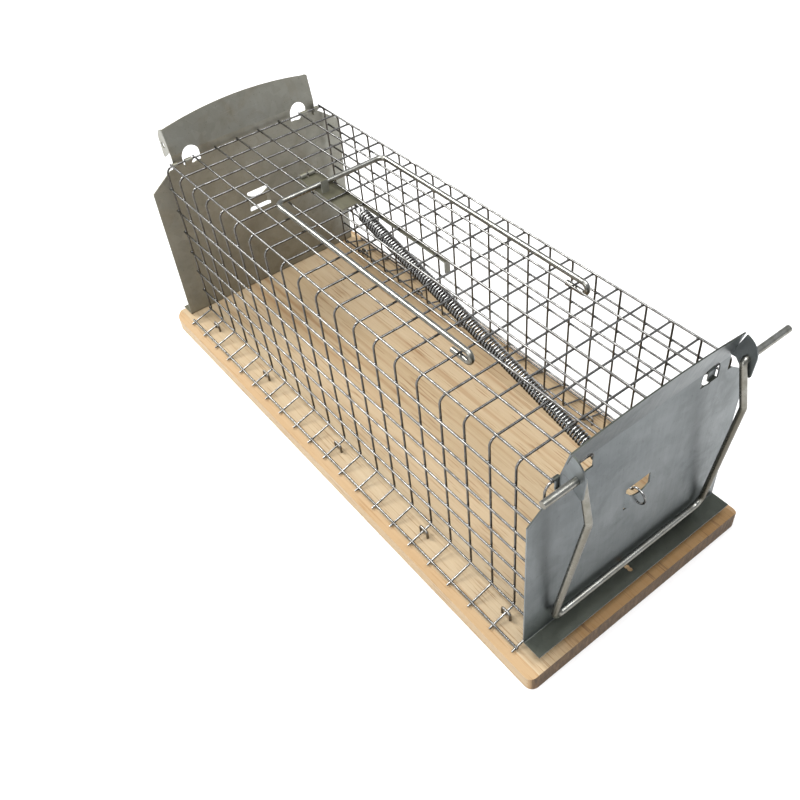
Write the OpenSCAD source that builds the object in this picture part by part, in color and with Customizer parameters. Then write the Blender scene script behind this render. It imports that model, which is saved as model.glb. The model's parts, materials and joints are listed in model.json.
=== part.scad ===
// Live catch trap: a welded-wire cage on a wooden board, with a sprung door at one end.
// Millimetres. The origin is under the middle of the board, +X points to the door and +Z up.

/* [Mesh] */
// Distance between neighbouring hoops along the cage
hoop_pitch = 14; // [12:0.5:18]
// Distance between neighbouring wires that run along the cage
wire_pitch = 13; // [11:0.5:16]
// Diameter of the mesh wire
mesh_d = 1; // [0.8:0.1:1.3]
// Cells across the roof, from corner wire to corner wire
roof_cells = 7; // [7:2:9]
// Wires along each side wall
side_wires = 7; // [5:1:9]
// Distance from the corner wires down to the first side wires
side_drop = 12.5; // [10:0.5:16]
// Height of the lowest side wires above the board
low_wire_h = 6.1; // [5:0.1:9]
// How far the side wires stand outside the corner wires
shoulder = 3.9; // [3.5:0.1:6]
// Radius of the hoops' roof corners
hoop_bend_r = 3.5; // [2:0.1:3.6]
// Distance from the side wires out to the foot wires
foot_reach = 11; // [9:0.5:16]
// How far each foot sticks out past its foot wire
foot_stub = 2.1; // [1:0.1:4]
// Radius of the bend between a hoop's leg and its foot
foot_bend_r = 1.8; // [1.2:0.1:2]

/* [Board] */
// Thickness of the board
board_t = 10; // [9:0.5:18]
// Board beyond the last hoop, under the door's lip
front_ledge = 14.6; // [12:0.2:25]
// Board behind the first hoop, under the rear plate's lip
rear_ledge = 17.4; // [17:0.2:30]
// Board beyond the ends of the feet
side_ledge = 2.5; // [2:0.1:12]
// Width of the sloping edge along each long side
edge_w = 4; // [1:0.5:4]
// Drop of that sloping edge
edge_drop = 2.5; // [1:0.5:4]
// Radius of the board's corners
corner_r = 4; // [1:0.5:8]

/* [End plates] */
// Thickness of the sheet metal
sheet_t = 0.6; // [0.5:0.05:0.8]
// How far the wings reach out past the side wires
wing_over = 8.8; // [6:0.2:9]
// How far the flap's edges stay inside the corner wires
flap_inset = 2.1; // [1.8:0.1:3]
// Height of the crease below the flap, above the hinge wire
crease_rise = 4.1; // [3.5:0.1:5]
// Height of the flap's corners above the hinge wire
flap_rise = 17.1; // [15:0.1:20]
// Extra height in the middle of the flap's curved top edge
arch_rise = 4; // [1:0.5:6]
// Outward lean of the flap, in degrees
flap_lean = 15; // [5:1:16]
// Length of the lip along the board
lip_l = 9.4; // [7:0.1:10]
// Clearance between the door's lip and the board
lip_gap = 6; // [4:0.5:8]
// Distance from the hinge wire to the plate's inner face
plate_gap = 1.8; // [1.8:0.1:2.4]
// Outward lean of the rear plate, in degrees
rear_lean = 4.4; // [0:0.1:5]
// Width of the two arched holes beside the flap
arch_hole_w = 10; // [9.6:0.1:11]
// Overall height of the arched holes
arch_hole_h = 9.5; // [9:0.1:11]
// Width of the window for the spring
window_w = 13.6; // [11:0.2:16]
// Width of one hinge curl
curl_w = 4; // [3:0.1:4.2]

/* [Bail] */
// Diameter of the bail's wire
bail_d = 3; // [2.4:0.1:3.4]
// How far the short end stands out past its ear
bail_short_end = 15; // [6:1:24]
// How far the long end stands out past its ear
bail_long_end = 24; // [6:1:30]
// Height of the bail's bar above the door's lip
bail_lift = 5.4; // [3:0.2:7]
// How much farther from the middle the bail's legs stand at the bar
bail_spread = 4.1; // [0:0.1:5]

/* [Setting arm] */
// Diameter of the arm's wire
arm_d = 2.6; // [2:0.1:3]
// Hoop that the arm's hooks hang on, counted from the rear
arm_hoop = 16; // [15:1:17]
// Distance from the left leg out to the second roof wire
arm_left_gap = 6.1; // [2.4:0.1:8]
// Distance from the right leg in to the seventh roof wire
arm_right_gap = 3.6; // [2.4:0.1:6]

/* [Trigger] */
// Thickness of the trigger strip
strip_t = 0.8; // [0.6:0.1:1]
// Width of the wide part of the strip
strip_w = 12; // [10:0.1:12]
// Width of the bait arm
bait_arm_w = 2.6; // [2:0.1:3]
// Hoop that the trigger pivots on, counted from the rear
trigger_hoop = 5; // [5:1:5]
// Distance from the wide part's end to the hoop that holds the spring
strip_stop = 4; // [4:0.5:8]
// Distance from the pivot to the setting arm's crossbar
catch_l = 17.5; // [17:0.5:19]
// Length from the pivot to the bait hook
trigger_l = 104; // [80:1:110]

/* [Spring] */
// Diameter of the spring wire
spring_d = 1; // [0.8:0.1:1.1]
// Mean diameter of the coils
coil_d = 5.4; // [4.6:0.1:5.8]
// Distance from one coil to the next
coil_pitch = 1.6; // [1.4:0.05:2]
// Hoop that holds the spring, counted from the rear
spring_hoop = 8; // [8:1:8]
// Distance of the spring's rear end from the middle of the cage
spring_y = 2.8; // [2:0.1:3]
// Length of the straight leg at the door end
front_leg = 14; // [12:0.5:24]

/* [Fasteners] */
// Diameter of the staple wire
staple_d = 1.2; // [1:0.1:1.4]
// Distance between a staple's legs
staple_w = 5; // [4:0.1:6]
// Depth of the staples and nails in the board
drive_depth = 6.5; // [5:0.5:8]
// Diameter of the nails that hold the rear plate
nail_d = 2; // [1.6:0.1:2.4]

/* [Hidden] */
hoop_count = 21;
// Gap between wires that lie on each other
touch = 0.02;
// Radial clearance of a wire in its curl or hole
run_fit = 0.06;
// Clearance between parts that move past each other
move_gap = 0.3;
// Extra radius of the ball that joins a straight rod to a slanting bend
seam = 0.02;
// Inner radius of the bends in the sheet metal
sheet_bend_r = 0.5;

roof_half = roof_cells * wire_pitch / 2;
side_y = roof_half + shoulder;
leg_y = side_y - mesh_d - touch;
low_wire_z = board_t + low_wire_h;
roof_z = low_wire_z + (side_wires - 1) * wire_pitch + side_drop;
hoop_z = roof_z - mesh_d - touch;

board_l = (hoop_count - 1) * hoop_pitch + front_ledge + rear_ledge;
function hoop_x(n) = -board_l / 2 + rear_ledge + (n - 1) * hoop_pitch;
hinge_x = hoop_x(hoop_count);
rear_x = hoop_x(1);

foot_end_y = side_y + foot_reach + foot_stub;
foot_end_z = board_t + mesh_d / 2 + touch;
foot_corner_drop = 1.5;
foot_corner_z = low_wire_z - foot_corner_drop;
foot_slope = atan((foot_corner_z - foot_end_z) / (foot_end_y - leg_y));
function foot_z(y) = foot_corner_z - (y - leg_y) * tan(foot_slope);
foot_wire_y = side_y + foot_reach;
foot_wire_z = foot_z(foot_wire_y) + (mesh_d + touch) / cos(foot_slope);
board_w = 2 * (foot_end_y + side_ledge);

stub = 0.45;
foot_wire_stub = 1.2;

pin_r = mesh_d / 2;
curl_in = pin_r + run_fit;
curl_turn = 285;
outer_curl_w = 2.6;
outer_curl_y = roof_half - mesh_d - 1.2;

wing_half = side_y + wing_over;
flap_half = roof_half - flap_inset;
plate_mid = plate_gap + sheet_t / 2;
arch_hole_y = roof_half - wire_pitch + 0.4;
arch_floor = 3.4;
curl_y = arch_hole_y + (arch_hole_w - curl_w) / 2 - 0.3;
wing_top = 12.5;
// How far cutting shapes reach past the sheet that they trim
trim = 5;
neck_half = roof_half + 0.6;
function plate_depth(lean, gap) =
  (hoop_z - board_t - gap - sheet_t / 2 + plate_mid * sin(lean)) / cos(lean);

bridge_h = 5.4;
bridge_z = -42;
window_top = -33.9;
window_end_h = 1.8;
bridge_flare = 0.8;
bridge_in = 1.4;
slit_h = 1.9;
window_half = window_w / 2;
lip_hole_x = plate_mid + 3.3;
lip_hole_y = -0.4;
lip_hole_r = 1.2;
lip_hole_half_l = 0.9;

ear_in = flap_half - sheet_t;
pivot_x = plate_gap + 7.2;
pivot_z = crease_rise + 3.1;
ear_hole_r = bail_d / 2 + run_fit;
bail_y = ear_in - 0.4 - bail_d / 2;
bail_knee_x = pivot_x + 5;
bail_knee_z = pivot_z - 20.2;
bail_foot_x = plate_gap + sheet_t + bail_d / 2 + 1;
bail_foot_y = bail_y + bail_spread;
bail_foot_z = board_t + lip_gap + sheet_t + bail_lift + bail_d / 2 - hoop_z;
bail_tight_r = bail_d / 2 + 0.2;
bail_bend_r = 5;

arm_x = hoop_x(arm_hoop);
arm_z = roof_z + mesh_d / 2 + move_gap + arm_d / 2;
arm_low_z = hoop_z - mesh_d / 2 - move_gap - arm_d / 2;
arm_turn_r = (arm_z - arm_low_z - 0.1) / 2;
arm_left = wire_pitch - roof_half + arm_left_gap;
arm_right = roof_half - wire_pitch + arm_right_gap;
arm_reach = 6.4;
arm_return_x = arm_x - 5.4;
arm_corner_r = 4;

strip_top = hoop_z - mesh_d / 2 - move_gap;
strip_right = spring_y + coil_d / 2 + spring_d / 2 + move_gap + bait_arm_w;
strip_left = strip_right - strip_w;
trigger_x = hoop_x(trigger_hoop);
strip_l = hoop_x(spring_hoop) - trigger_x - strip_stop;
arm_bar_x = trigger_x + catch_l;
shoulder_y = spring_y + spring_d / 2 + 0.7;
lobe_taper = 6;
lobe_notch = 3;
lobe_tilt = 15;
lobe_w = 3.4;
lobe_gap = 1.2;
lobe_right = wire_pitch / 2 - mesh_d / 2 - 0.4;
catch_w = 4;
catch_rise = 2.6;
bait_hook_h = 6;

spring_x = hoop_x(spring_hoop);
ring_r = bridge_h / 2 + move_gap + spring_d / 2;
bridge_out = 1.3;
front_x = hinge_x + plate_gap + bridge_out + sheet_t / 2;
front_z = hoop_z + bridge_z;
hook_bend_r = spring_d / 2 + 0.2;
end_gap = 0.05;
rear_ring_r = 2.4;
rear_hang = rear_ring_r - spring_d / 2 - mesh_d / 2 - 0.1;
rear_drop = 1;
rear_ring_x = spring_x + sqrt(rear_hang * rear_hang - rear_drop * rear_drop);
rear_ring_z = hoop_z - rear_drop;
spring_dx = front_x - rear_ring_x;
spring_dz = front_z - rear_ring_z;
spring_fall = atan(-spring_dz / spring_dx);
spring_run = norm([spring_dx, spring_dz]);
spring_yaw = atan(-spring_y / spring_run);
spring_span = norm([spring_run, spring_y]);
hook_stem = 2 * hook_bend_r + 0.1;
rear_leg = rear_ring_r + hook_stem + end_gap + spring_d;
coil_space = spring_span - rear_leg - ring_r - front_leg;
half_turns = 2 * floor(coil_space / coil_pitch);
coil_l = half_turns * coil_pitch / 2;

stapled_hoops = [2, 6, 11, 16, 20];
staple_y = leg_y + 4.6;
staple_z = foot_z(staple_y) + (mesh_d / 2) / cos(foot_slope) + touch + staple_d / 2;
staple_bend_r = staple_d;
hole_fit = 0.02;
nail_y = 36;
nail_head_r = 2.3;
nail_head_t = 0.8;

steel = "silver";
sheet = "lightsteelblue";
old_sheet = "darkkhaki";
pine = "burlywood";

$fn = 48;

function unit(v) = v / norm(v);
function is_on_axis(v) = abs(max(abs(v[0]), abs(v[1]), abs(v[2])) - norm(v)) < 0.000001;
function turn_at(a, b, c) = 180 - acos(unit(a - b) * unit(c - b));
function turn_left(v) = [-v[1], v[0]];
function rotated(v, a) = [v[0] * cos(a) - v[1] * sin(a), v[0] * sin(a) + v[1] * cos(a)];
function on_circle(centre, r, a) = centre + r * [cos(a), sin(a)];
function arc_points(centre, r, from, to, steps) =
  [for (k = [0 : steps]) on_circle(centre, r, from + (to - from) * k / steps)];

// One side of a bent strip of sheet whose middle line runs through points, off to its left.
function strip_corner(a, b, c, r, off, steps) =
  let (u = unit(b - a), w = unit(c - b), turn = atan2(u[0] * w[1] - u[1] * w[0], u * w))
  let (side = sign(turn), cut = r * tan(abs(turn) / 2))
  let (centre = b - u * cut + turn_left(u) * r * side)
  [for (k = [0 : steps]) let (d = rotated(u, turn * k / steps)) centre - turn_left(d) * (r * side - off)];
function strip_side(points, r, off, steps) =
  let (last = len(points) - 1)
  concat(
    [points[0] + turn_left(unit(points[1] - points[0])) * off],
    [for (i = [1 : last - 1]) each strip_corner(points[i - 1], points[i], points[i + 1], r, off, steps)],
    [points[last] + turn_left(unit(points[last] - points[last - 1])) * off]);
function reversed(list) = [for (i = [len(list) - 1 : -1 : 0]) list[i]];

module rod(a, b, d) {
  v = b - a;
  translate(a)
    rotate([0, acos(v[2] / norm(v)), atan2(v[1], v[0])])
      cylinder(h = norm(v), d = d);
}

// A round bend of radius r at b, between rods that come from a and go to c.
module bend(a, b, c, d, r) {
  u = unit(a - b);
  w = unit(c - b);
  turn = turn_at(a, b, c);
  cut = r * tan(turn / 2);
  centre = b + unit(u + w) * r / cos(turn / 2);
  n = unit(cross(w, u));
  x = unit(b + u * cut - centre);
  y = cross(n, x);
  multmatrix([[x[0], y[0], n[0], centre[0]],
              [x[1], y[1], n[1], centre[1]],
              [x[2], y[2], n[2], centre[2]],
              [0, 0, 0, 1]])
    rotate_extrude(angle = turn)
      translate([r, 0])
        circle(d = d);
  if (!is_on_axis(u) || !is_on_axis(w))
    for (p = [b + u * cut, b + w * cut])
      translate(p)
        sphere(d = d + 2 * seam);
}

// A wire of diameter d through points, bent with radii[i - 1] at point i.
module bent_wire(points, d, radii) {
  last = len(points) - 1;
  cuts = [for (i = [0 : last]) i == 0 || i == last ? 0
    : radii[i - 1] * tan(turn_at(points[i - 1], points[i], points[i + 1]) / 2)];
  union() {
    for (i = [0 : last - 1]) {
      along = unit(points[i + 1] - points[i]);
      rod(points[i] + along * cuts[i], points[i + 1] - along * cuts[i + 1], d);
    }
    for (i = [1 : last - 1])
      bend(points[i - 1], points[i], points[i + 1], d, radii[i - 1]);
  }
}

// ---- Board and fasteners ----

module plank() {
  half = board_w / 2;
  intersection() {
    rotate([90, 0, 90])
      linear_extrude(board_l, center = true)
        polygon([[-half, 0], [half, 0], [half, board_t - edge_drop], [half - edge_w, board_t],
                 [edge_w - half, board_t], [-half, board_t - edge_drop]]);
    linear_extrude(3 * board_t, center = true)
      polygon(concat(
        arc_points([board_l / 2 - corner_r, half - corner_r], corner_r, 0, 90, 8),
        arc_points([corner_r - board_l / 2, half - corner_r], corner_r, 90, 180, 8),
        arc_points([corner_r - board_l / 2, corner_r - half], corner_r, 180, 270, 8),
        arc_points([board_l / 2 - corner_r, corner_r - half], corner_r, 270, 360, 8)));
  }
}

module base_board() {
  color(pine)
    difference() {
      plank();
      for (n = stapled_hoops, side = [-1, 1], end = [-1, 1])
        translate([hoop_x(n) + end * staple_w / 2, side * staple_y, board_t - drive_depth - hole_fit])
          cylinder(h = board_t, d = staple_d + 2 * hole_fit);
      for (side = [-1, 1])
        translate([nail_x(), side * nail_y, board_t - drive_depth - hole_fit])
          cylinder(h = board_t, d = nail_d + 2 * hole_fit);
    }
}

module staples(side) {
  for (n = stapled_hoops)
    translate([hoop_x(n), side * staple_y, 0])
      union()
        for (end = [0, 1])
          mirror([end, 0, 0])
            bent_wire([[0, 0, staple_z], [-staple_w / 2, 0, staple_z],
                       [-staple_w / 2, 0, board_t - drive_depth]], staple_d, [staple_bend_r]);
}

module left_staples() {
  color(steel)
    staples(-1);
}

module right_staples() {
  color(steel)
    staples(1);
}

// Middle of the rear lip, seen from above.
function rear_lip_x() = rear_x - plate_mid * cos(rear_lean) - plate_depth(rear_lean, 0) * sin(rear_lean);
function nail_x() = rear_lip_x() - lip_l / 2;

module rear_nails() {
  color(steel)
    for (side = [-1, 1])
      translate([nail_x(), side * nail_y, 0]) {
        translate([0, 0, board_t - drive_depth])
          cylinder(h = drive_depth + sheet_t + nail_head_t / 2, d = nail_d);
        translate([0, 0, board_t + sheet_t + touch])
          cylinder(h = nail_head_t, r = nail_head_r);
      }
}

// ---- Wire mesh ----

module hoop(n) {
  color(steel)
    translate([hoop_x(n), 0, 0])
      union()
        for (side = [0, 1])
          mirror([0, side, 0])
            bent_wire([[0, 0, hoop_z], [0, -leg_y, hoop_z], [0, -leg_y, foot_corner_z],
                       [0, -foot_end_y, foot_end_z]],
                      mesh_d, [hoop_bend_r, foot_bend_r]);
}

module long_wire(y, z, over) {
  color(steel)
    rod([rear_x - over, y, z], [hinge_x + over, y, z], mesh_d);
}

module roof_wire(n) {
  long_wire((n - 1) * wire_pitch - roof_half, roof_z, stub);
}

module side_wire(n, side) {
  long_wire(side * side_y, roof_z - side_drop - (n - 1) * wire_pitch, stub);
}

module left_foot_wire() {
  long_wire(-foot_wire_y, foot_wire_z, foot_wire_stub);
}

module right_foot_wire() {
  long_wire(foot_wire_y, foot_wire_z, foot_wire_stub);
}

// ---- End plates: the hinge wire is at the origin, and the plate stands out along +X ----

// Bent sheet seen from the side: lip, upright and leaning flap.
module plate_profile(lean, depth) {
  corner = [plate_mid, -depth];
  crease = [plate_mid, crease_rise];
  top = flap_rise + arch_rise + 2;
  points = [corner + lip_l * [cos(lean), -sin(lean)], corner, crease,
            crease + [(top - crease_rise) * tan(flap_lean), top - crease_rise]];
  polygon(concat(strip_side(points, sheet_bend_r + sheet_t / 2, sheet_t / 2, 6),
                 reversed(strip_side(points, sheet_bend_r + sheet_t / 2, -sheet_t / 2, 6))));
}

// Half of the outline seen from the front, with the arched top edge.
function arch_radius() = (flap_half * flap_half + arch_rise * arch_rise) / (2 * arch_rise);
function plate_edge(depth) =
  let (r = arch_radius(), reach = asin(flap_half / r))
  concat(
    [[wing_half, -depth - trim], [wing_half, -wing_top], [neck_half, -arch_floor], [flap_half, -arch_floor]],
    arc_points([0, flap_rise + arch_rise - r], r, 90 - reach, 90 + reach, 24),
    [[-flap_half, -arch_floor], [-neck_half, -arch_floor], [-wing_half, -wing_top],
     [-wing_half, -depth - trim]]);

module along_x(length) {
  rotate([90, 0, 90])
    linear_extrude(length)
      children();
}

module arched_hole() {
  r = arch_hole_w / 2;
  centre = arch_hole_h - arch_floor - r;
  along_x(20) {
    translate([0, centre])
      circle(r = r);
    translate([-r, -arch_floor])
      square([arch_hole_w, centre + arch_floor]);
  }
}

// Window for the spring's hook: straight above, and sagging to the bridge's middle below.
module window_outline() {
  sag = window_top - window_end_h - bridge_z - bridge_h / 2;
  r = (window_half * window_half + sag * sag) / (2 * sag);
  reach = asin(window_half / r);
  polygon(concat(
    [[window_half, window_top], [-window_half, window_top]],
    arc_points([0, bridge_z + bridge_h / 2 + r], r, 270 - reach, 270 + reach, 16)));
}

module bridge_opening() {
  bottom = bridge_z - bridge_h / 2 - slit_h;
  along_x(20)
    translate([-window_half, bottom])
      square([window_w, window_top - bottom]);
}

// The strip between window and slit, pushed out of the sheet so that a hook fits round it.
module bridge() {
  w = window_half;
  root = plate_gap + 0.1;
  inner = plate_gap + bridge_out;
  outer = inner + sheet_t;
  bottom = bridge_z - bridge_h / 2;
  intersection() {
    translate([0, 0, bottom])
      linear_extrude(window_top - window_end_h - bottom)
        polygon([[root, -w - bridge_flare], [outer, bridge_in - w], [outer, w - bridge_in],
                 [root, w + bridge_flare], [root, w], [inner, w - bridge_in - 0.3],
                 [inner, bridge_in + 0.3 - w], [root, -w]]);
    difference() {
      along_x(20)
        translate([-2 * w, bottom])
          square([4 * w, window_top - bottom]);
      along_x(20)
        window_outline();
    }
  }
}

// A tab that rises from the floor of a hole and curls round the hinge wire.
module hinge_curl(y, width) {
  translate([0, y + width, 0])
    rotate([90, 0, 0]) {
      rotate_extrude(angle = curl_turn)
        translate([curl_in, 0])
          square([sheet_t, width]);
      translate([curl_in, -arch_floor])
        cube([sheet_t, arch_floor, width]);
      translate([curl_in, -arch_floor - sheet_t])
        cube([plate_gap + sheet_t - curl_in, sheet_t, width]);
    }
}

// An ear bent out from the flap's side edge, with the hole for the bail.
module ear() {
  rotate([90, 0, 0])
    linear_extrude(sheet_t, center = true)
      difference() {
        polygon(concat(
          [[plate_mid, crease_rise + 0.9]],
          arc_points([plate_mid + 2.5, pivot_z + 1.6], flap_rise - pivot_z - 1.6, 76, -5, 14),
          arc_points([pivot_x + 2.2, crease_rise - 3.6], 1.2, -5, -130, 6),
          [[pivot_x - 1.9, crease_rise - 1.9], [plate_mid + 2.6, crease_rise + 0.9]]));
        translate([pivot_x, pivot_z])
          circle(r = ear_hole_r);
      }
}

module end_plate(lean, gap) {
  depth = plate_depth(lean, gap);
  difference() {
    intersection() {
      rotate([90, 0, 0])
        linear_extrude(3 * wing_half, center = true)
          plate_profile(lean, depth);
      along_x(40)
        polygon(plate_edge(depth));
    }
    for (side = [-1, 1])
      translate([0, side * arch_hole_y, 0])
        arched_hole();
    bridge_opening();
  }
  for (side = [-1, 1]) {
    hinge_curl(side * curl_y - curl_w / 2, curl_w);
    hinge_curl(side * outer_curl_y - outer_curl_w / 2, outer_curl_w);
    translate([0, side * (flap_half - sheet_t / 2), 0])
      ear();
  }
  bridge();
}

// Oblong drain hole in the door's lip.
module lip_hole() {
  for (x = [lip_hole_x - lip_hole_half_l, lip_hole_x + lip_hole_half_l])
    translate([x, lip_hole_y, -plate_depth(0, lip_gap) - 2 * sheet_t])
      cylinder(h = 4 * sheet_t, r = lip_hole_r);
}

module front_door() {
  color(sheet)
    translate([hinge_x, 0, hoop_z])
      difference() {
        union() {
          end_plate(0, lip_gap);
        }
        lip_hole();
      }
}

module rear_plate() {
  color(old_sheet)
    difference() {
      translate([rear_x, 0, hoop_z])
        mirror([1, 0, 0])
          rotate([0, -rear_lean, 0])
            end_plate(rear_lean, touch);
      for (side = [-1, 1])
        translate([nail_x(), side * nail_y, board_t - 2])
          cylinder(h = 4, d = nail_d + 2 * run_fit);
    }
}

// ---- Bail ----

module bail() {
  short = flap_half + bail_short_end;
  long = flap_half + bail_long_end;
  color(steel)
    translate([hinge_x, 0, hoop_z])
      bent_wire([[pivot_x, -short, pivot_z], [pivot_x, -bail_y, pivot_z],
                 [bail_knee_x, -bail_y, bail_knee_z], [bail_foot_x, -bail_foot_y, bail_foot_z],
                 [bail_foot_x, bail_foot_y, bail_foot_z], [bail_knee_x, bail_y, bail_knee_z],
                 [pivot_x, bail_y, pivot_z], [pivot_x, long, pivot_z]],
                bail_d, [bail_tight_r, bail_bend_r, bail_bend_r, bail_bend_r, bail_bend_r, bail_tight_r]);
}

// ---- Setting arm ----

module setting_arm() {
  tip = arm_x + arm_reach;
  color(steel)
    bent_wire([[arm_return_x, arm_left, arm_low_z], [tip, arm_left, arm_low_z], [tip, arm_left, arm_z],
               [arm_bar_x, arm_left, arm_z], [arm_bar_x, arm_right, arm_z], [tip, arm_right, arm_z],
               [tip, arm_right, arm_low_z], [arm_return_x, arm_right, arm_low_z]],
              arm_d, [arm_turn_r, arm_turn_r, arm_corner_r, arm_corner_r, arm_turn_r, arm_turn_r]);
}

// ---- Trigger: a strip under the roof that curls round its hoop ----

module trigger_outline() {
  root = -0.3;
  neck = strip_l + 4;
  notch = lobe_right - lobe_w - lobe_gap / 2;
  lobe_left = lobe_right - 2 * lobe_w - lobe_gap;
  polygon([[root, lobe_left], [lobe_taper, strip_left], [strip_l, strip_left], [strip_l, shoulder_y],
           [neck, strip_right - bait_arm_w], [trigger_l, strip_right - bait_arm_w],
           [trigger_l, strip_right], [lobe_taper, strip_right], [root, lobe_right],
           [root, lobe_right - lobe_w], [lobe_notch, notch], [root, lobe_left + lobe_w]]);
}

// A tongue rolled up behind the hoop and over it, with its lower edge at y.
module trigger_lobe(y) {
  translate([0, y + lobe_w, hoop_z - strip_top])
    rotate([90, 0, 0])
      rotate([0, 0, -lobe_tilt])
        rotate_extrude(angle = curl_turn)
          translate([curl_in, 0])
            square([strip_t, lobe_w]);
}

module trigger() {
  catch_x = catch_l + arm_d / 2 + move_gap;
  color(old_sheet)
    translate([trigger_x, 0, strip_top]) {
      translate([0, 0, -strip_t])
        linear_extrude(strip_t)
          trigger_outline();
      for (n = [0, 1])
        trigger_lobe(lobe_right - (n + 1) * lobe_w - n * lobe_gap);
      translate([catch_x, -catch_w / 2, -strip_t])
        cube([strip_t, catch_w, arm_z - strip_top + strip_t + catch_rise]);
      translate([trigger_l - strip_t, strip_right - bait_arm_w, -bait_hook_h])
        cube([strip_t, bait_arm_w, bait_hook_h]);
    }
}

// ---- Spring: a frame whose +X runs from the rear ring to the door ----

module on_spring() {
  translate([rear_ring_x, spring_y, rear_ring_z])
    rotate([0, spring_fall, 0])
      rotate([0, 0, spring_yaw])
        children();
}

// A helix made of half turns, each a half ring tilted so that its ends meet its neighbours'.
module spring_coils() {
  r = coil_d / 2;
  tilt = asin(coil_pitch / 4 / r);
  color(steel)
    on_spring()
      translate([rear_leg, 0, 0])
        rotate([0, 90, 0])
          for (k = [0 : half_turns - 1])
            translate([0, 0, (k + 0.5) * coil_pitch / 2])
              rotate([0, 0, 180 * (k % 2)])
                rotate([0, tilt, 0])
                  rotate_extrude(angle = 180)
                    translate([r, 0])
                      circle(d = spring_d);
}

// The wire leaves the last coil, turns to the axis, and makes a ring of radius r round the origin.
module hook(leg, r) {
  near = hook_bend_r;
  far = r - hook_bend_r - 0.1;
  round_r = r - 0.1;
  bent_wire([[leg, 0, -coil_d / 2], [leg, 0, 0], [r, 0, 0], [r, 0, r], [-r, 0, r], [-r, 0, -r],
             [r / 2, 0, -r]],
            spring_d, [near, near, far, round_r, round_r]);
}

module spring_rear_hook() {
  color(steel)
    on_spring()
      hook(rear_ring_r + hook_stem, rear_ring_r);
}

module spring_front_hook() {
  color(steel)
    on_spring()
      translate([spring_span, 0, 0])
        mirror([1, 0, 0])
          hook(spring_span - rear_leg - coil_l - end_gap - spring_d, ring_r);
}

base_board();
rear_plate();
rear_nails();
left_staples();
right_staples();
left_foot_wire();
right_foot_wire();
front_door();
bail();
setting_arm();
trigger();
spring_coils();
spring_front_hook();
spring_rear_hook();
for (n = [1 : hoop_count])
  hoop(n);
for (n = [1 : roof_cells + 1])
  roof_wire(n);
for (n = [1 : side_wires])
  side_wire(n, -1);
for (n = [1 : side_wires])
  side_wire(n, 1);
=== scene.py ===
import json
import math

import bmesh
import bpy
from mathutils import Matrix, Vector


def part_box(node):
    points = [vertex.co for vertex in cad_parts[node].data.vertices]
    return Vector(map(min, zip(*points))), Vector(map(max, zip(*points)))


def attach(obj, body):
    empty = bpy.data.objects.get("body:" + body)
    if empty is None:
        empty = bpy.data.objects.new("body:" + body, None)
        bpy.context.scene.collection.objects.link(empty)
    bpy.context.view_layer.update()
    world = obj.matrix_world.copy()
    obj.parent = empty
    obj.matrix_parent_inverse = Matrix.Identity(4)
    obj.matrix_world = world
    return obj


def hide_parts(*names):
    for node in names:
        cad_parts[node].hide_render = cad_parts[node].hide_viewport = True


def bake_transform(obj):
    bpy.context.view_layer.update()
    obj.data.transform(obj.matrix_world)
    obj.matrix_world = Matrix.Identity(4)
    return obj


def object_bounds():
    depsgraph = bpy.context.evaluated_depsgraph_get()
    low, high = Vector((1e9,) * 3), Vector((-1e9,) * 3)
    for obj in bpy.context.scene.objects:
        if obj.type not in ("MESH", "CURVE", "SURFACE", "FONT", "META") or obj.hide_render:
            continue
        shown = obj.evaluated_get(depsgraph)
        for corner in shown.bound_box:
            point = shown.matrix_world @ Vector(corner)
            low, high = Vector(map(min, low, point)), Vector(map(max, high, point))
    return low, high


MM = 0.001

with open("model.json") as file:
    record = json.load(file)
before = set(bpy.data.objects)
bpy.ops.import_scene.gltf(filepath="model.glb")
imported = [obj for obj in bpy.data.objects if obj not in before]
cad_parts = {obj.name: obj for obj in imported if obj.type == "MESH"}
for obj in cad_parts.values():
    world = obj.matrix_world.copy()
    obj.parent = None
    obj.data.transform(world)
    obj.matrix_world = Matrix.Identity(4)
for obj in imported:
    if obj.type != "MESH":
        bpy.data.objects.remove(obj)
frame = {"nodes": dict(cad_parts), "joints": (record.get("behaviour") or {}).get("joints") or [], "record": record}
cad_low, cad_high = [list(corner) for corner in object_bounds()]
scene = bpy.context.scene
scene.view_settings.view_transform = "Standard"


# ---- Camera ----

LENS = 37.9
SENSOR = 36.0
CAMERA_AT = Vector((264.7, -175.8, 323.3)) * MM
AZIMUTH = math.radians(54.2)
ELEVATION = math.radians(47.54)
ROLL = math.radians(-4.45)
SHIFT = (-0.0581, 0.0489)
CLIP_START = 0.01


def add_camera():
    forward = Vector((-math.sin(AZIMUTH) * math.cos(ELEVATION),
                      math.cos(AZIMUTH) * math.cos(ELEVATION),
                      -math.sin(ELEVATION)))
    level = Vector((math.cos(AZIMUTH), math.sin(AZIMUTH), 0))
    upright = level.cross(forward)
    right = math.cos(ROLL) * level + math.sin(ROLL) * upright
    up = math.cos(ROLL) * upright - math.sin(ROLL) * level
    data = bpy.data.cameras.new("camera")
    data.lens = LENS
    data.sensor_width = SENSOR
    data.shift_x, data.shift_y = SHIFT
    data.clip_start = CLIP_START
    camera = bpy.data.objects.new("camera", data)
    turned = Matrix((right, up, -forward)).transposed().to_4x4()
    camera.matrix_world = Matrix.Translation(CAMERA_AT) @ turned
    scene.collection.objects.link(camera)
    scene.camera = camera


# ---- Node helpers ----

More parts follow.
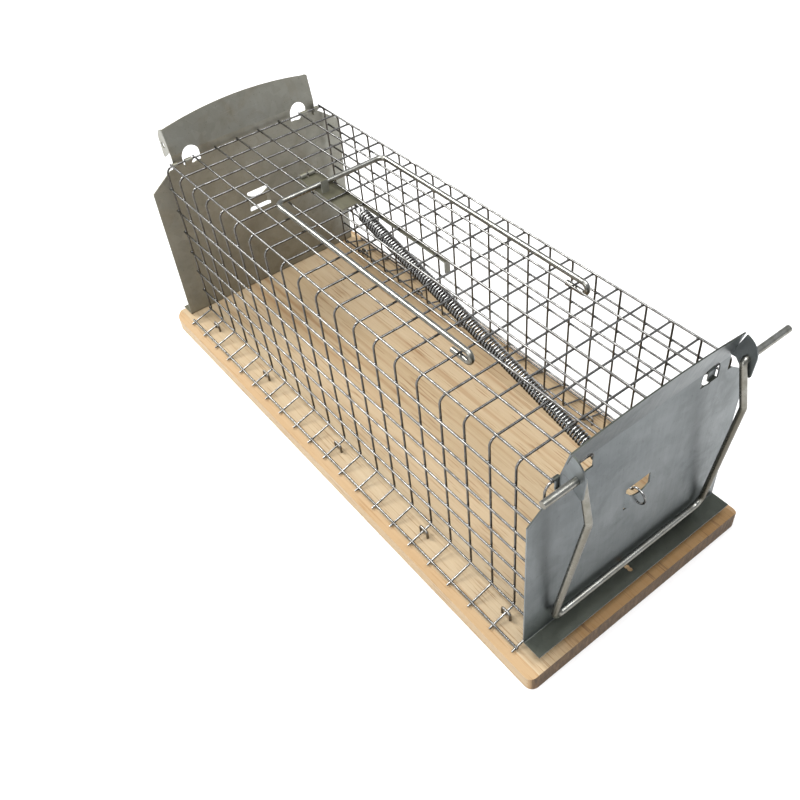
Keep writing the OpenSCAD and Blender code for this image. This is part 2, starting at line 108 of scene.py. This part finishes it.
class Nodes:
    """Builds one material's node tree."""

    def __init__(self, name):
        self.material = bpy.data.materials.new(name)
        self.material.use_nodes = True
        self.tree = self.material.node_tree
        self.shader = self.tree.nodes["Principled BSDF"]
        own = self.add("ShaderNodeTexCoord")
        self.place = own.outputs["Object"]
        self.facing = own.outputs["Normal"]

    def add(self, kind, **settings):
        node = self.tree.nodes.new(kind)
        for key, value in settings.items():
            setattr(node, key, value)
        return node

    def link(self, source, target):
        self.tree.links.new(source, target)

    def stretched(self, x, y, z, place=None):
        """Object coordinates in metres, or another place, multiplied by x, y and z."""
        node = self.add("ShaderNodeVectorMath", operation="MULTIPLY")
        self.link(self.place if place is None else place, node.inputs[0])
        node.inputs[1].default_value = (x, y, z)
        return node.outputs[0]

    def noise(self, vector, detail=3.0, roughness=0.5, distortion=0.0):
        node = self.add("ShaderNodeTexNoise")
        node.inputs["Scale"].default_value = 1.0
        node.inputs["Detail"].default_value = detail
        node.inputs["Roughness"].default_value = roughness
        node.inputs["Distortion"].default_value = distortion
        self.link(vector, node.inputs["Vector"])
        return node.outputs["Fac"]

    def cell_colour(self, vector):
        node = self.add("ShaderNodeTexVoronoi")
        node.inputs["Scale"].default_value = 1.0
        self.link(vector, node.inputs["Vector"])
        return node.outputs["Color"]

    def split(self, vector):
        node = self.add("ShaderNodeSeparateXYZ")
        self.link(vector, node.inputs[0])
        return node.outputs

    def ramp(self, value, *stops):
        """Colours along a value: each stop is (position, (r, g, b))."""
        node = self.add("ShaderNodeValToRGB")
        elements = node.color_ramp.elements
        while len(elements) < len(stops):
            elements.new(0.5)
        for element, (position, colour) in zip(elements, stops):
            element.position = position
            element.color = (*colour, 1)
        self.link(value, node.inputs["Fac"])
        return node.outputs["Color"]

    def span(self, value, low, high, to_low=0.0, to_high=1.0):
        node = self.add("ShaderNodeMapRange")
        for index, number in enumerate((low, high, to_low, to_high)):
            node.inputs[index + 1].default_value = number
        self.link(value, node.inputs["Value"])
        return node.outputs["Result"]

    def mix(self, factor, a, b, mode="MIX"):
        node = self.add("ShaderNodeMix", data_type="RGBA", blend_type=mode)
        sockets = (node.inputs[0], node.inputs[6], node.inputs[7])
        for value, socket in zip((factor, a, b), sockets):
            if isinstance(value, tuple):
                socket.default_value = (*value, 1)
            elif isinstance(value, float):
                socket.default_value = value
            else:
                self.link(value, socket)
        return node.outputs[2]

    def maths(self, operation, a, b=0.0):
        node = self.add("ShaderNodeMath", operation=operation)
        for value, socket in ((a, node.inputs[0]), (b, node.inputs[1])):
            if isinstance(value, float):
                socket.default_value = value
            else:
                self.link(value, socket)
        return node.outputs[0]

    def bump(self, height, distance, strength=1.0):
        node = self.add("ShaderNodeBump")
        node.inputs["Strength"].default_value = strength
        node.inputs["Distance"].default_value = distance
        self.link(height, node.inputs["Height"])
        self.link(node.outputs["Normal"], self.shader.inputs["Normal"])

    def set(self, **values):
        for key, value in values.items():
            socket = self.shader.inputs[key.replace("_", " ").title()]
            if isinstance(value, (tuple, float)):
                socket.default_value = (*value, 1) if isinstance(value, tuple) else value
            else:
                self.link(value, socket)


# ---- Materials ----

def shade(colour, *factors):
    """The colour with its channels multiplied, by one factor for all or by one for each."""
    return tuple(c * k for c, k in zip(colour, factors * 3 if len(factors) == 1 else factors))


def upward(n, low, high):
    """Grows from 0 to 1 as the piece's own surface turns from facing down to facing up."""
    return n.span(n.split(n.facing)["Z"], low, high)


def sheet_metal(name, dull, mid, light, stain, rough=0.36, metal=0.85):
    """Galvanised sheet: soft cloudy zinc with faint spangles, rolling marks, stains and specks, and painted shade
    on faces turned up.
    """
    n = Nodes(name)
    cloud = n.noise(n.stretched(22, 22, 26), detail=5, roughness=0.6, distortion=0.5)
    blotch = n.noise(n.stretched(75, 60, 60), detail=4, roughness=0.6, distortion=0.8)
    spangle = n.add("ShaderNodeSeparateColor")
    n.link(n.cell_colour(n.stretched(230, 230, 230)), spangle.inputs[0])
    base = n.ramp(cloud, (0.3, dull), (0.5, mid), (0.72, light))
    # Painted shade and reflection: faces turned up, such as the lips, are darkened and tinted olive.
    up_faces_shaded = n.mix(upward(n, 0.6, 0.95), base, shade(dull, 0.76, 0.74, 0.60))
    stained = n.mix(n.span(blotch, 0.54, 0.78, 0.0, 0.45), up_faces_shaded, stain)
    flake = n.span(spangle.outputs[0], 0, 1, 0.94, 1.05)
    flake_colour = n.add("ShaderNodeCombineColor")
    for socket in flake_colour.inputs[:3]:
        n.link(flake, socket)
    speck = n.noise(n.stretched(900, 900, 900), detail=2)
    speckled = n.mix(n.span(speck, 0.66, 0.74, 0.0, 0.4), stained, shade(mid, 0.4))
    scratch = n.noise(n.stretched(90, 60, 1400), detail=2, roughness=0.7)
    scratched = n.mix(n.span(scratch, 0.68, 0.76, 0.0, 0.3), speckled, shade(light, 1.5))
    colour = n.mix(1.0, scratched, flake_colour.outputs[0], "MULTIPLY")
    streak = n.noise(n.stretched(60, 900, 60), detail=2)
    marks = n.maths("ADD", n.span(streak, 0.3, 0.7, -0.03, 0.03),
                    n.span(blotch, 0.5, 0.75, 0.0, 0.1))
    roughness = n.maths("ADD", n.span(cloud, 0.3, 0.7, rough + 0.08, rough - 0.05), marks)
    n.set(base_color=colour, metallic=metal, roughness=roughness)
    height = n.maths("ADD", n.maths("MULTIPLY", cloud, 0.7), n.maths("MULTIPLY", streak, 0.1))
    n.bump(height, 0.5 * MM, 0.35)
    return n.material


def wire(name, dark, bright, rough, spots=0.3, underside_shade=0.45):
    """Drawn and galvanised wire: mottled, with painted shade darker where its surface turns down, and small dull
    spots.
    """
    n = Nodes(name)
    mottle = n.noise(n.stretched(260, 260, 260), detail=4, roughness=0.6)
    spot = n.noise(n.stretched(1500, 1500, 1500), detail=2)
    colour = n.ramp(mottle, (0.36, dark), (0.62, bright))
    spotted = n.mix(n.span(spot, 0.6, 0.72, 0.0, spots), colour, shade(dark, 0.5))
    # Painted shade: the wire is darker where its surface faces down and brighter where it faces up.
    painted_underside = shade(dark, underside_shade, underside_shade * 0.93, underside_shade * 0.84)
    shaded_by_facing = n.mix(upward(n, -0.1, 0.75), painted_underside, spotted)
    roughness = n.span(mottle, 0.3, 0.7, rough + 0.08, rough - 0.04)
    n.set(base_color=shaded_by_facing, metallic=1.0, roughness=roughness)
    n.bump(n.maths("ADD", mottle, n.maths("MULTIPLY", spot, 0.4)), 0.12 * MM, 0.4)
    return n.material


STAVE_W = 27 * MM
STAVE_OFFSET = 0.5                       # keeps the staves' count above 0 over the whole board
GLUE_EDGES = (0.488, 0.5)                # the glue line, in stave widths from a stave's middle
SHADOW_AND_CHECKS_FROM_X = (140 * MM, 150 * MM)  # the painted lip shadow and the checks grow from 0 to full between the two
SHADOW_AND_CHECKS_FROM_Y = (-62 * MM, -35 * MM)


def pine():
    """Edge-glued pine: each stave has its own tone and grain, and the sawn ends are darker."""
    n = Nodes("pine")
    place = n.split(n.place)
    staves = n.maths("MULTIPLY", n.maths("ADD", place["Y"], STAVE_OFFSET), 1 / STAVE_W)
    stave = n.maths("FLOOR", staves)
    random = n.add("ShaderNodeTexWhiteNoise", noise_dimensions="1D")
    n.link(stave, random.inputs["W"])
    # Each stave reads the grain from its own place in the log.
    shift = n.add("ShaderNodeCombineXYZ")
    n.link(n.maths("MULTIPLY", random.outputs["Value"], 7.0), shift.inputs["X"])
    n.link(n.maths("MULTIPLY", random.outputs["Value"], 3.0), shift.inputs["Z"])
    log = n.add("ShaderNodeVectorMath", operation="ADD")
    n.link(n.place, log.inputs[0])
    n.link(shift.outputs[0], log.inputs[1])

    grain = log.outputs[0]
    bands = n.noise(n.stretched(1.6, 75, 75, grain), detail=3, roughness=0.55, distortion=0.15)
    streak = n.noise(n.stretched(3.5, 240, 240, grain), detail=3, roughness=0.6)
    fibre = n.noise(n.stretched(16, 1100, 1100, grain), detail=4, roughness=0.65)
    cloud = n.noise(n.stretched(11, 26, 26), detail=3, roughness=0.55)
    face = n.ramp(bands, (0.34, (0.57, 0.455, 0.30)), (0.5, (0.54, 0.415, 0.26)),
                  (0.6, (0.47, 0.34, 0.195)), (0.72, (0.39, 0.26, 0.135)))
    pale = n.mix(n.span(cloud, 0.35, 0.7, 0.3, 0.7), face, (0.57, 0.46, 0.31))
    streaked = n.mix(n.span(streak, 0.56, 0.7, 0.0, 0.7), pale, (0.36, 0.21, 0.10))
    fibred = n.mix(n.span(fibre, 0.42, 0.7, 0.0, 0.25), streaked, (0.33, 0.20, 0.10))
    dash = n.noise(n.stretched(42, 1300, 1300, grain), detail=2, roughness=0.5)
    dashed = n.mix(n.span(dash, 0.59, 0.67, 0.0, 0.75), fibred, (0.29, 0.165, 0.075))
    tone = n.ramp(random.outputs["Value"], (0.0, (0.87, 0.84, 0.80)), (0.5, (1.0, 1.0, 1.0)),
                  (1.0, (0.95, 0.91, 0.87)))
    toned = n.mix(1.0, dashed, tone, "MULTIPLY")
    # The glue lines between staves.
    edge = n.maths("ABSOLUTE", n.maths("SUBTRACT", n.maths("FRACT", staves), 0.5))
    glued = n.mix(n.span(edge, *GLUE_EDGES, 0.0, 0.35), toned, (0.30, 0.18, 0.09))
    # A darker strip at the door's end, painted shadow of the door's lip, with fine checks; it fades towards one
    # corner.
    check = n.noise(n.stretched(28, 700, 60), detail=3, roughness=0.7)
    near_end = n.maths("MULTIPLY", n.span(place["X"], *SHADOW_AND_CHECKS_FROM_X),
                       n.span(place["Y"], *SHADOW_AND_CHECKS_FROM_Y))
    lip_shadowed = n.mix(n.maths("MULTIPLY", near_end, 0.88), glued, (0.25, 0.142, 0.055))
    cracks = n.maths("MULTIPLY", near_end, n.span(check, 0.56, 0.66, 0.0, 0.7))
    checked = n.mix(cracks, lip_shadowed, (0.13, 0.07, 0.035))
    # The planed chamfers of the long edges are a warmer tan, and the faces below them are pale.
    facing = n.split(n.facing)
    across = n.maths("ABSOLUTE", facing["Y"])
    chamfer = n.maths("MULTIPLY", n.span(across, 0.3, 0.6, 0.0, 0.75),
                      n.span(across, 0.88, 0.97, 1.0, 0.1))
    edged = n.mix(chamfer, checked, (0.39, 0.235, 0.105))
    # The sawn ends, where the pores show as short dark strokes.
    end = n.span(n.maths("ABSOLUTE", facing["X"]), 0.55, 0.8)
    pores = n.noise(n.stretched(300, 620, 130), detail=4, roughness=0.7)
    end_grain = n.ramp(pores, (0.3, (0.05, 0.028, 0.012)), (0.52, (0.105, 0.06, 0.026)),
                       (0.7, (0.17, 0.10, 0.047)))
    colour = n.mix(end, edged, end_grain)
    n.set(base_color=colour, roughness=n.span(fibre, 0.3, 0.7, 0.62, 0.5))
    n.shader.inputs["Specular IOR Level"].default_value = 0.22
    relief = n.maths("ADD", n.maths("MULTIPLY", fibre, 0.6), n.maths("MULTIPLY", bands, 0.4))
    groove = n.maths("MULTIPLY", n.span(edge, *GLUE_EDGES), 0.3)
    n.bump(n.maths("SUBTRACT", relief, groove), 0.3 * MM, 0.45)
    return n.material


def studio_floor():
    n = Nodes("studio_floor")
    n.set(base_color=(0.93, 0.93, 0.93), roughness=0.9)
    n.shader.inputs["Specular IOR Level"].default_value = 0.1
    return n.material


MATERIALS = {
    "pine": pine(),
    "zinc_sheet": sheet_metal("zinc_sheet", (0.128, 0.143, 0.147), (0.156, 0.171, 0.174),
                              (0.184, 0.2, 0.203), (0.105, 0.115, 0.113)),
    "old_sheet": sheet_metal("old_sheet", (0.225, 0.22, 0.185), (0.27, 0.266, 0.228),
                             (0.315, 0.316, 0.285), (0.20, 0.16, 0.105), rough=0.42, metal=0.65),
    "mesh_wire": wire("mesh_wire", (0.15, 0.147, 0.14), (0.34, 0.338, 0.33), 0.25),
    "arm_wire": wire("arm_wire", (0.29, 0.285, 0.25), (0.46, 0.46, 0.43), 0.28, underside_shade=0.5),
    "spring_wire": wire("spring_wire", (0.28, 0.28, 0.27), (0.5, 0.5, 0.49), 0.2,
                        spots=0.1, underside_shade=0.1),
    "staple_wire": wire("staple_wire", (0.26, 0.245, 0.22), (0.42, 0.41, 0.39), 0.34),
    "nail_steel": wire("nail_steel", (0.26, 0.25, 0.24), (0.40, 0.39, 0.38), 0.38),
}


def finish_frame():
    slot_of = {part["node"]: part["material_slot"] for part in frame["record"]["subparts"]}
    for name, node in frame["nodes"].items():
        node.data.materials.clear()
        node.data.materials.append(MATERIALS[slot_of[name]])


# ---- Meshes ----

def add_piece(name, mesh, body, slot):
    piece = bpy.data.objects.new(name, mesh)
    mesh.materials.append(MATERIALS[slot])
    scene.collection.objects.link(piece)
    if body:
        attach(piece, body)
    return piece


def swept_mesh(name, points, radius, sides):
    """A round wire of that radius along the points, with flat ends."""
    bm = bmesh.new()
    across = None
    rings = []
    for index, point in enumerate(points):
        ahead = points[min(index + 1, len(points) - 1)] - points[max(index - 1, 0)]
        ahead.normalize()
        if across is None:
            across = ahead.orthogonal()
        across = (across - ahead * across.dot(ahead)).normalized()
        other = ahead.cross(across)
        turns = [math.tau * side / sides for side in range(sides)]
        spokes = [math.cos(turn) * across + math.sin(turn) * other for turn in turns]
        rings.append([bm.verts.new(point + radius * spoke) for spoke in spokes])
    for near, far in zip(rings, rings[1:]):
        for side in range(sides):
            after = (side + 1) % sides
            bm.faces.new((near[side], near[after], far[after], far[side])).smooth = True
    bm.faces.new(reversed(rings[0]))
    bm.faces.new(rings[-1])
    mesh = bpy.data.meshes.new(name)
    bm.to_mesh(mesh)
    bm.free()
    return mesh


# ---- Spring coils: one continuous helix between the two hooks ----

SPRING_WIRE_R = 0.55 * MM
COIL_MEAN_R = 2.65 * MM
COIL_TURNS = 105
POINTS_PER_TURN = 20
WIRE_SIDES = 9
RING_IN_FRONT = 0.831 * MM    # from the rear hoop's wire to the middle of the hook's ring
RING_BELOW = 1.0 * MM
REAR_HOOK_L = 3.9 * MM        # from each ring's middle to where its hook meets the coil
FRONT_HOOK_L = 16.7 * MM


def joint(name):
    return next(j for j in frame["joints"] if j["name"] == name)


def add_coils():
    door_ring = Vector(joint("spring_front_pivot")["pos_m"])
    rear_wire = Vector(joint("spring_rear_pivot")["pos_m"])
    rear_ring = rear_wire + Vector((RING_IN_FRONT, 0, -RING_BELOW))
    along = (door_ring - rear_ring).normalized()
    side = Vector((0, 0, 1)).cross(along).normalized()
    down = side.cross(along).normalized()
    if down.z > 0:
        down = -down
    first = rear_ring + along * REAR_HOOK_L
    length = (door_ring - rear_ring).length - REAR_HOOK_L - FRONT_HOOK_L
    steps = COIL_TURNS * POINTS_PER_TURN
    points = []
    for step in range(steps + 1):
        turn = math.tau * step / POINTS_PER_TURN
        points.append(first + along * (length * step / steps)
                      + COIL_MEAN_R * (math.cos(turn) * down + math.sin(turn) * side))
    mesh = swept_mesh("coil", points, SPRING_WIRE_R, WIRE_SIDES)
    coil = add_piece("coil", mesh, None, "spring_wire")
    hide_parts("spring_coils")
    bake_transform(coil)


# ---- Weld nuggets where the mesh wires cross ----

NUGGET_R = 0.75 * MM
NUGGET_SEGMENTS = 8
NUGGET_RINGS = 6
# Something turns on the roofs of these hoops.
CURLED_HOOPS = ("hoop_1", "hoop_5", "hoop_8", "hoop_16", "hoop_21")


def add_nuggets():
    """A small round bead between the two wires at each crossing that stays clear of what turns."""
    wires = ("hoop_", "roof_wire_", "left_wire_", "right_wire_")
    boxes = {name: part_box(name) for name in frame["nodes"] if name.startswith(wires)}
    spots = []
    for hoop in (name for name in boxes if name.startswith("hoop_")):
        low, high = boxes[hoop]
        x = (low.x + high.x) / 2
        for name, (near, far) in boxes.items():
            if name.startswith("roof_wire_") and hoop not in CURLED_HOOPS:
                spots.append(Vector((x, (near.y + far.y) / 2, near.z)))
            elif name.startswith(("left_wire_", "right_wire_")):
                spots.append(Vector((x, far.y if far.y < 0 else near.y, (near.z + far.z) / 2)))
    bm = bmesh.new()
    bmesh.ops.create_uvsphere(bm, u_segments=NUGGET_SEGMENTS, v_segments=NUGGET_RINGS,
                              radius=NUGGET_R)
    bm.verts.index_update()
    bead = [vert.co.copy() for vert in bm.verts]
    loops = [[vert.index for vert in face.verts] for face in bm.faces]
    bm.free()
    mesh = bpy.data.meshes.new("nuggets")
    starts = range(0, len(spots) * len(bead), len(bead))
    mesh.from_pydata([spot + corner for spot in spots for corner in bead], [],
                     [[start + index for index in loop] for start in starts for loop in loops])
    mesh.shade_smooth()
    add_piece("nuggets", mesh, "cage", "mesh_wire")


finish_frame()
add_camera()
add_coils()
add_nuggets()


# ---- Studio ----

FLOOR_HALF = 4.0
FLOOR_GAP = 0.2 * MM


def add_floor():
    bm = bmesh.new()
    z = cad_low[2] - FLOOR_GAP
    corners = [(-1, -1), (1, -1), (1, 1), (-1, 1)]
    bm.faces.new([bm.verts.new((x * FLOOR_HALF, y * FLOOR_HALF, z)) for x, y in corners])
    mesh = bpy.data.meshes.new("floor")
    bm.to_mesh(mesh)
    bm.free()
    mesh.materials.append(studio_floor())
    floor = bpy.data.objects.new("floor", mesh)
    scene.collection.objects.link(floor)


def add_softbox(name, at, target, width, height, power, colour=(1, 1, 1)):
    data = bpy.data.lights.new(name, "AREA")
    data.shape = "RECTANGLE"
    data.size = width
    data.size_y = height
    data.energy = power
    data.color = colour
    light = bpy.data.objects.new(name, data)
    direction = Vector(target) - Vector(at)
    turned = direction.to_track_quat("-Z", "Y").to_matrix().to_4x4()
    light.matrix_world = Matrix.Translation(at) @ turned
    scene.collection.objects.link(light)


def add_lights():
    world = bpy.data.worlds.new("studio")
    world.use_nodes = True
    background = world.node_tree.nodes["Background"]
    background.inputs["Color"].default_value = (0.93, 0.96, 1.0, 1)
    background.inputs["Strength"].default_value = 0.4
    scene.world = world
    middle = (0, 0, 0.06)
    # The key stands where long wires mirror it towards the camera and the hoops don't.
    add_softbox("key_rear", (-0.95, -0.45, 1.25), middle, 0.5, 1.0, 22, (1.0, 0.99, 0.97))
    add_softbox("overhead", (0.5, 0.1, 2.2), middle, 1.5, 1.5, 46)
    add_softbox("side_left", (0.2, -1.5, 0.8), middle, 1.0, 0.7, 9)


add_floor()
add_lights()
